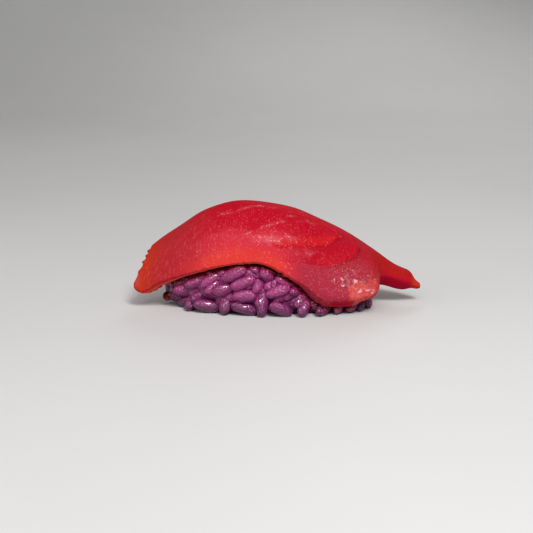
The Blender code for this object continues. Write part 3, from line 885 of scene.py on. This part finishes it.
# Painted shade at the foot by height, and the painted shade on the underside and the wet side by how far up
# the skin faces.
FOOT_SHADE = (7 * MM, 0.5 * MM)
SHADED_SIDE = (0.1, -0.7)
WET_SIDE = (-0.1, 0.4)
UPPER_GRAINS = (4.2 * MM, 15.5 * MM)
RICE_SEED = 11
# (how far a lying grain's middle stands off the pad, how far it keeps from the others).
FOOT_ROUND = (1.0 * MM, 2.4 * MM)
OUTER_ROUND = (0.9 * MM, 2.6 * MM)
GAP_ROUND = (0.2 * MM, 1.9 * MM)
DEEP_ROUND = (-0.4 * MM, 1.3 * MM)
ROUND_TRIES = 1800
# (x, z, turn, dip, stand-off) of the largest grains in front, in millimetres and degrees.
FRONT_GRAINS = (
    (-10.0, 11.6, 28, 0, 1.0),
    (-7.6, 9.2, 27, 0, 1.0),
    (-6.9, 5.6, 10, 0, 1.0),
    (-7.1, 1.8, -16, 0, 1.6),
    (-12.6, 7.1, 12, 20, 1.0),
    (-12.5, 3.0, 88, 45, 1.4),
    (-2.0, 1.9, 80, 50, 3.2),
    (2.8, 2.6, -24, 0, 2.2),
    (2.1, 7.0, 20, 0, 1.0),
    (-0.3, 11.0, -40, 50, 1.0),
    (-3.2, 9.1, 70, 50, 1.0),
    (-2.5, 5.0, 75, 50, 1.0),
    (-20.2, 8.9, 30, 25, 1.0),
    (-16.3, 10.0, 45, 25, 1.0),
    (-24.4, 8.5, 20, 50, 1.0),
    (-23.8, 5.7, 0, 40, 1.0),
    (-26.8, 2.4, -50, 50, 1.0),
    (-22.0, 2.9, 80, 55, 1.0),
    (-19.5, 4.8, 30, 50, 1.0),
    (-17.3, 2.2, -15, 15, 1.6),
    (-15.5, 7.9, 45, 40, 1.0),
    (9.2, 4.4, 30, 50, 1.0),
    (9.6, 2.2, 35, 45, 2.8),
    (7.6, 6.5, -20, 55, 1.0),
    (14.8, 1.9, -15, 45, 2.8),
    (19.8, 1.9, 25, 50, 1.6),
    (23.0, 1.9, 0, 40, 1.6),
    (25.4, 2.0, 10, 60, 1.6),
    (26.9, 2.2, 10, 70, 2.0),
)


def grain_frame(place, normal, turn, dip):
    """A grain's axes: it lies on the pad, turned from level, with its right end dipped into the pad."""
    level = Vector((0, 0, 1)).cross(normal).normalized()
    upward = normal.cross(level)
    lying = level * math.cos(turn) + upward * math.sin(turn)
    lengthwise = lying * math.cos(dip) - normal * math.sin(dip)
    sideways = normal.cross(lying).normalized()
    frame = Matrix((sideways.cross(lengthwise), sideways, lengthwise)).transposed().to_4x4()
    frame.translation = place
    return frame


class RicePlacer:
    """Lays grains on the pad one by one, each clear of the grains before it and resting above the floor."""

    def __init__(self):
        loaf = pad_loaf()
        self.surface = BVHTree.FromBMesh(loaf)
        loaf.free()
        self.draw = random.Random(RICE_SEED)
        self.taken = []
        self.grains = []

    def lay(self, origin, direction, turn, dip, rules):
        """Throws a grain at the pad and keeps it where it finds room."""
        stand_off, spacing = rules
        length = self.draw.uniform(*GRAIN_LENGTH)
        width = self.draw.uniform(*GRAIN_WIDTH)
        thickness = width * self.draw.uniform(*GRAIN_FLATNESS)
        hit, normal, _, _ = self.surface.ray_cast(origin, direction)
        if hit is None:
            return
        sink = abs(math.sin(dip)) * (length - thickness) / 2
        frame = grain_frame(hit + normal * (stand_off - sink), normal, turn, dip)
        spots = [frame @ Vector((0, 0, part * length)) for part in GRAIN_SPOTS]
        if any((spot - other).length < spacing for spot in spots for other in self.taken):
            return
        size = Vector((thickness, width, length)) / 2
        half_height = math.sqrt(sum((frame[2][axis] * size[axis]) ** 2 for axis in range(3)))
        frame.translation.z = max(frame.translation.z, half_height + FOOT_LIFT)
        self.taken += spots
        self.grains.append((frame, size))

    def lay_from(self, around, height, turn, dip, rules):
        """Lays a grain where a level line from outside meets the pad at this angle and height."""
        x, y = math.cos(around) * PAD_LENGTH / 2, math.sin(around) * PAD_WIDTH / 2
        target = Vector((x * THROW_TARGET, 0.0, height))
        origin = Vector((x * THROW_ORIGIN[0], y * THROW_ORIGIN[1], height))
        self.lay(origin, (target - origin).normalized(), math.radians(turn), math.radians(dip), rules)

    def lay_front(self):
        for x, z, turn, dip, stand_off in FRONT_GRAINS:
            origin = Vector((x * MM, -PAD_LENGTH, z * MM))
            rules = (stand_off * MM, 0.0)
            self.lay(origin, Vector((0, 1, 0)), math.radians(turn), math.radians(dip), rules)

    def lay_foot(self):
        for step in range(FOOT_GRAIN_COUNT):
            around = 2 * math.pi * (step + self.draw.uniform(-FOOT_SHIFT, FOOT_SHIFT)) / FOOT_GRAIN_COUNT
            dip = self.draw.choice(FOOT_DIPS)
            turn = self.draw.uniform(-TURN_SPREAD, TURN_SPREAD)
            self.lay_from(around, FOOT_GRAIN_HEIGHT, turn, dip, FOOT_ROUND)

    def lay_round(self, rules, lowest=UPPER_GRAINS[0]):
        """Throws many grains at the pad from all sides and keeps those that find room."""
        for _ in range(ROUND_TRIES):
            around = self.draw.uniform(0, 2 * math.pi)
            height = self.draw.uniform(lowest, UPPER_GRAINS[1])
            turn = self.draw.choice(GRAIN_TURNS) + self.draw.uniform(-TURN_SPREAD, TURN_SPREAD)
            dip = self.draw.uniform(-DIP_SPREAD, DIP_SPREAD)
            self.lay_from(around, height, turn, dip, rules)


placer = RicePlacer()
placer.lay_front()
placer.lay_foot()
placer.lay_round(OUTER_ROUND)
placer.lay_round(GAP_ROUND)
placer.lay_round(DEEP_ROUND, FOOT_GRAIN_HEIGHT)


def grain_points(grains):
    """One point for each grain, with its turn, half sizes and tone as readings."""
    mesh = bpy.data.meshes.new("grain_points")
    mesh.from_pydata([frame.translation for frame, _ in grains], [], [])
    draw = random.Random(RICE_SEED + 1)
    turns = [part for frame, _ in grains for part in frame.to_quaternion()]
    sizes = [part for _, size in grains for part in size]
    mesh.attributes.new("turned", "QUATERNION", "POINT").data.foreach_set("value", turns)
    mesh.attributes.new("sized", "FLOAT_VECTOR", "POINT").data.foreach_set("vector", sizes)
    store_reading(mesh, "tone", [draw.random() for _ in grains])
    return mesh


def grain_tree(material):
    """Geometry Nodes that put one plump grain on each point, turned and sized by the point's own readings."""
    tree = bpy.data.node_groups.new("rice_grains", "GeometryNodeTree")
    tree.interface.new_socket("Geometry", in_out="INPUT", socket_type="NodeSocketGeometry")
    for name, kind in (
        ("Sides", "NodeSocketInt"),
        ("Rings", "NodeSocketInt"),
        ("Bluntness", "NodeSocketFloat"),
        ("Lump Size", "NodeSocketFloat"),
        ("Lump Height", "NodeSocketFloat"),
    ):
        tree.interface.new_socket(name, in_out="INPUT", socket_type=kind)
    tree.interface.new_socket("Geometry", in_out="OUTPUT", socket_type="NodeSocketGeometry")

    def node(kind, settings, inputs):
        made = tree.nodes.new(kind)
        for name, value in settings.items():
            setattr(made, name, value)
        for name, value in inputs.items():
            if isinstance(value, bpy.types.NodeSocket):
                tree.links.new(value, made.inputs[name])
            else:
                made.inputs[name].default_value = value
        return made.outputs

    def maths(operation, first, second=0.0):
        return node("ShaderNodeMath", {"operation": operation}, {0: first, 1: second})[0]

    given = node("NodeGroupInput", {}, {})
    whole = {"Segments": given["Sides"], "Rings": given["Rings"], "Radius": 1.0}
    ball = node("GeometryNodeMeshUVSphere", {}, whole)
    apart = node("ShaderNodeSeparateXYZ", {}, {0: node("GeometryNodeInputPosition", {}, {})[0]})
    blunt_girth = maths("SUBTRACT", 1.0, maths("POWER", maths("ABSOLUTE", apart["Z"]), given["Bluntness"]))
    round_girth = maths("SUBTRACT", 1.0, maths("MULTIPLY", apart["Z"], apart["Z"]))
    fuller = maths("SQRT", maths("DIVIDE", blunt_girth, maths("MAXIMUM", round_girth, GRAIN_LEAST_GIRTH)))
    swollen = node("ShaderNodeCombineXYZ", {}, {
        "X": maths("MULTIPLY", apart["X"], fuller),
        "Y": maths("MULTIPLY", apart["Y"], fuller),
        "Z": apart["Z"],
    })
    grain = node("GeometryNodeSetPosition", {}, {"Geometry": ball["Mesh"], "Position": swollen[0]})
    turned = node("GeometryNodeInputNamedAttribute", {"data_type": "QUATERNION"}, {"Name": "turned"})
    sized = node("GeometryNodeInputNamedAttribute", {"data_type": "FLOAT_VECTOR"}, {"Name": "sized"})
    laid = node("GeometryNodeInstanceOnPoints", {}, {
        "Points": given["Geometry"],
        "Instance": grain[0],
        "Rotation": turned["Attribute"],
        "Scale": sized["Attribute"],
    })
    real = node("GeometryNodeRealizeInstances", {}, {"Geometry": laid[0]})
    fineness = maths("DIVIDE", 1.0, given["Lump Size"])
    lumps = node("ShaderNodeTexNoise", {}, {"Scale": fineness, "Detail": 1.0})
    centred = node("ShaderNodeVectorMath", {"operation": "SUBTRACT"}, {0: lumps["Color"], 1: (0.5, 0.5, 0.5)})
    push_inputs = {0: centred[0], "Scale": given["Lump Height"]}
    push = node("ShaderNodeVectorMath", {"operation": "SCALE"}, push_inputs)
    shaped = node("GeometryNodeSetPosition", {}, {"Geometry": real[0], "Offset": push[0]})
    smooth = node("GeometryNodeSetShadeSmooth", {}, {"Geometry": shaped[0]})
    painted = node("GeometryNodeSetMaterial", {}, {"Geometry": smooth[0], "Material": material})
    node("NodeGroupOutput", {}, {0: painted[0]})
    return tree


def set_inputs(modifier, values):
    """Sets a modifier's inputs by the names that its tree gives them."""
    for item in modifier.node_group.interface.items_tree:
        if item.in_out == "INPUT" and item.name in values:
            modifier[item.identifier] = values[item.name]


def steamed_rice():
    """Wet dyed grains, each with its own tone; shade is painted at the foot and below, and shade and red
    light next to the fish.
    """
    paint = Paint("steamed_purple_rice")
    place = paint.place()
    height = paint.node("ShaderNodeSeparateXYZ", {}, {0: place}, "Z")
    upward = paint.reading("upward")
    cloud = paint.noise(place, RICE_CLOUD_SIZE, 2.0)
    beads = paint.noise(place, RICE_BEAD_SIZE, 2.0)
    film = paint.noise(place, RICE_FILM_SIZE, 2.0)
    colour = paint.mix(paint.reading("tone"), DEEP_PURPLE, PINK_PURPLE)
    colour = paint.mix(cloud.ramp(0.35, 0.7) * 0.5, colour, CLOUDY_PURPLE)
    # Painted shade: darker at the foot, on the undersides and, redder, next to the fish.
    colour = paint.mix(height.ramp(*FOOT_SHADE) * 0.72, colour, FOOT_SHADE_PURPLE)
    colour = paint.mix(upward.ramp(*SHADED_SIDE) * 0.45, colour, SHADED_PURPLE)
    colour = paint.mix(paint.reading("near_fish") * 0.9, colour, FISH_SHADE_RED)
    return paint.finish(
        Base_Color=colour,
        Roughness=0.2,
        Subsurface_Weight=0.2,
        Subsurface_Radius=(1.0, 0.4, 0.8),
        Subsurface_Scale=0.9 * MM,
        Specular_IOR_Level=0.55,
        Coat_Weight=beads.ramp(0.51, 0.57) * film.ramp(0.35, 0.5) * upward.ramp(*WET_SIDE) * 0.7,
        Coat_Roughness=0.12,
        Coat_IOR=1.9,
        Normal=paint.relief(beads * 1.3 + cloud, RICE_RELIEF),
    )


grains = bpy.data.objects.new("grain_points", grain_points(placer.grains))
bpy.context.scene.collection.objects.link(grains)
laying = grains.modifiers.new("lay_grains", "NODES")
laying.node_group = grain_tree(steamed_rice())
set_inputs(laying, {
    "Sides": GRAIN_SIDES,
    "Rings": GRAIN_RINGS,
    "Bluntness": GRAIN_BLUNTNESS,
    "Lump Size": LUMP_SIZE,
    "Lump Height": LUMP_HEIGHT,
})
graph = bpy.context.evaluated_depsgraph_get()
grain_mesh = bpy.data.meshes.new_from_object(grains.evaluated_get(graph))
bpy.data.objects.remove(grains)
grain_mesh.name = "rice_grains"
press_under_slice([vertex.co for vertex in grain_mesh.vertices], GRAIN_CLEARANCE)
keep_in_box(grain_mesh, "rice")
to_fish = np.array([pressing_face.find_nearest(vertex.co)[3] for vertex in grain_mesh.vertices])
store_reading(grain_mesh, "near_fish", smooth_step(1 - to_fish / FISH_SHADE_REACH))
store_reading(grain_mesh, "upward", [vertex.normal.z for vertex in grain_mesh.vertices])
place_piece("rice_grains", grain_mesh, "rice")

# The red bead
# One small glossy drop, dark red with orange patches painted as its glint, that sticks to the left end of the
# pad near its foot. It is soft, like a single roe.

BEAD_PLACE = (-29.4 * MM, -3.2 * MM, 2.9 * MM)
BEAD_RADIUS = 1.4 * MM
BEAD_MERIDIANS = 28
BEAD_PARALLELS = 18
BEAD_CLOUD_SIZE = 1.0 * MM
BEAD_RELIEF = 0.1 * MM
BEAD_DARK = ink(60, 3, 2)
# Orange patches painted as the glint of the drop.
BEAD_GLINT_ORANGE = ink(150, 30, 14)


def bead_red():
    paint = Paint("bead_red")
    cloud = paint.noise(paint.place(), BEAD_CLOUD_SIZE, 2.0)
    return paint.finish(
        Base_Color=paint.mix(cloud.ramp(0.5, 0.7), BEAD_DARK, BEAD_GLINT_ORANGE),
        Roughness=0.3,
        Subsurface_Weight=0.2,
        Subsurface_Scale=0.8 * MM,
        Specular_IOR_Level=0.1,
        Coat_Weight=0.12,
        Coat_Roughness=0.1,
        Normal=paint.relief(cloud, BEAD_RELIEF),
    )


bead = bmesh.new()
bmesh.ops.create_uvsphere(
    bead,
    u_segments=BEAD_MERIDIANS,
    v_segments=BEAD_PARALLELS,
    radius=BEAD_RADIUS,
    matrix=Matrix.Translation(BEAD_PLACE),
)
bead_mesh = bpy.data.meshes.new("red_bead")
bead.to_mesh(bead_mesh)
bead.free()
bead_mesh.shade_smooth()
bead_mesh.materials.append(bead_red())
place_piece("red_bead", bead_mesh, "rice")

# The studio
# A pale sweep of board under four soft lights: a key and a fill high in front, a weak one on the left and one
# behind. A pale room around them lights the rest.

SWEEP_WIDTH = 1.6
SWEEP_FRONT = -0.7
SWEEP_BEND = 0.45
SWEEP_RADIUS = 0.35
SWEEP_TOP = 1.0
SWEEP_STEPS = 24
LIGHT_TARGET = Vector((0, 0, 0.012))
CAMERA_ELEVATION = math.radians(14.2)
CAMERA_DISTANCE = 0.320
CAMERA_TARGET = Vector((-0.001, 0.0, 0.0108))
CAMERA_LENS = 75.0
SENSOR_WIDTH = 36.0
BOARD_MOTTLE_SIZE = 0.12
BOARD_GREY = (0.60, 0.59, 0.58)
BOARD_PALE = (0.66, 0.65, 0.64)
ROOM_COLOUR = (0.9, 0.92, 0.95, 1.0)
ROOM_STRENGTH = 0.2
# (name, place, watts, side of the square), in metres.
LIGHTS = (
    ("key_light", (0.14, -0.38, 0.45), 2.7, 0.17),
    ("fill_light", (-0.10, -0.45, 0.50), 1.25, 0.40),
    ("side_light", (-0.48, -0.20, 0.26), 0.5, 0.30),
    ("back_light", (0.15, 0.55, 0.35), 0.7, 0.30),
)


def pale_board():
    paint = Paint("pale_board")
    mottle = paint.noise(paint.place(), BOARD_MOTTLE_SIZE, 3.0)
    return paint.finish(
        Base_Color=paint.mix(mottle, BOARD_GREY, BOARD_PALE),
        Roughness=0.6,
        Specular_IOR_Level=0.2,
    )


def sweep_profile():
    """Points of the sweep from the front, along the floor, round the bend and up."""
    points = [(SWEEP_FRONT, 0.0), (SWEEP_BEND, 0.0)]
    for step in range(1, SWEEP_STEPS + 1):
        turn = math.pi / 2 * step / SWEEP_STEPS
        points.append((SWEEP_BEND + SWEEP_RADIUS * math.sin(turn), SWEEP_RADIUS * (1 - math.cos(turn))))
    points.append((SWEEP_BEND + SWEEP_RADIUS, SWEEP_TOP))
    return points


def add_light(name, place, power, size):
    """A square soft light that faces the object."""
    lamp = bpy.data.lights.new(name, "AREA")
    lamp.energy = power
    lamp.size = size
    item = bpy.data.objects.new(name, lamp)
    item.location = place
    item.rotation_euler = (LIGHT_TARGET - Vector(place)).to_track_quat("-Z", "Y").to_euler()
    bpy.context.scene.collection.objects.link(item)


profile = sweep_profile()
sweep_points = [(side * SWEEP_WIDTH / 2, y, z) for y, z in profile for side in (-1, 1)]
sweep_faces = [(2 * i, 2 * i + 1, 2 * i + 3, 2 * i + 2) for i in range(len(profile) - 1)]
sweep_mesh = bpy.data.meshes.new("sweep")
sweep_mesh.from_pydata(sweep_points, [], sweep_faces)
sweep_mesh.shade_smooth()
sweep_mesh.materials.append(pale_board())
sweep = bpy.data.objects.new("sweep", sweep_mesh)
bpy.context.scene.collection.objects.link(sweep)

for light in LIGHTS:
    add_light(*light)
room = bpy.data.worlds.new("pale_room")
room.use_nodes = True
room.node_tree.nodes["Background"].inputs["Color"].default_value = ROOM_COLOUR
room.node_tree.nodes["Background"].inputs["Strength"].default_value = ROOM_STRENGTH
bpy.context.scene.world = room
bpy.context.scene.view_settings.view_transform = "Standard"

camera_data = bpy.data.cameras.new("camera")
camera_data.sensor_width = SENSOR_WIDTH
camera_data.lens = CAMERA_LENS
camera = bpy.data.objects.new("camera", camera_data)
toward = Vector((0.0, math.cos(CAMERA_ELEVATION), -math.sin(CAMERA_ELEVATION)))
camera.location = CAMERA_TARGET - toward * CAMERA_DISTANCE
camera.rotation_euler = (math.pi / 2 - CAMERA_ELEVATION, 0.0, 0.0)
bpy.context.scene.collection.objects.link(camera)
bpy.context.scene.camera = camera
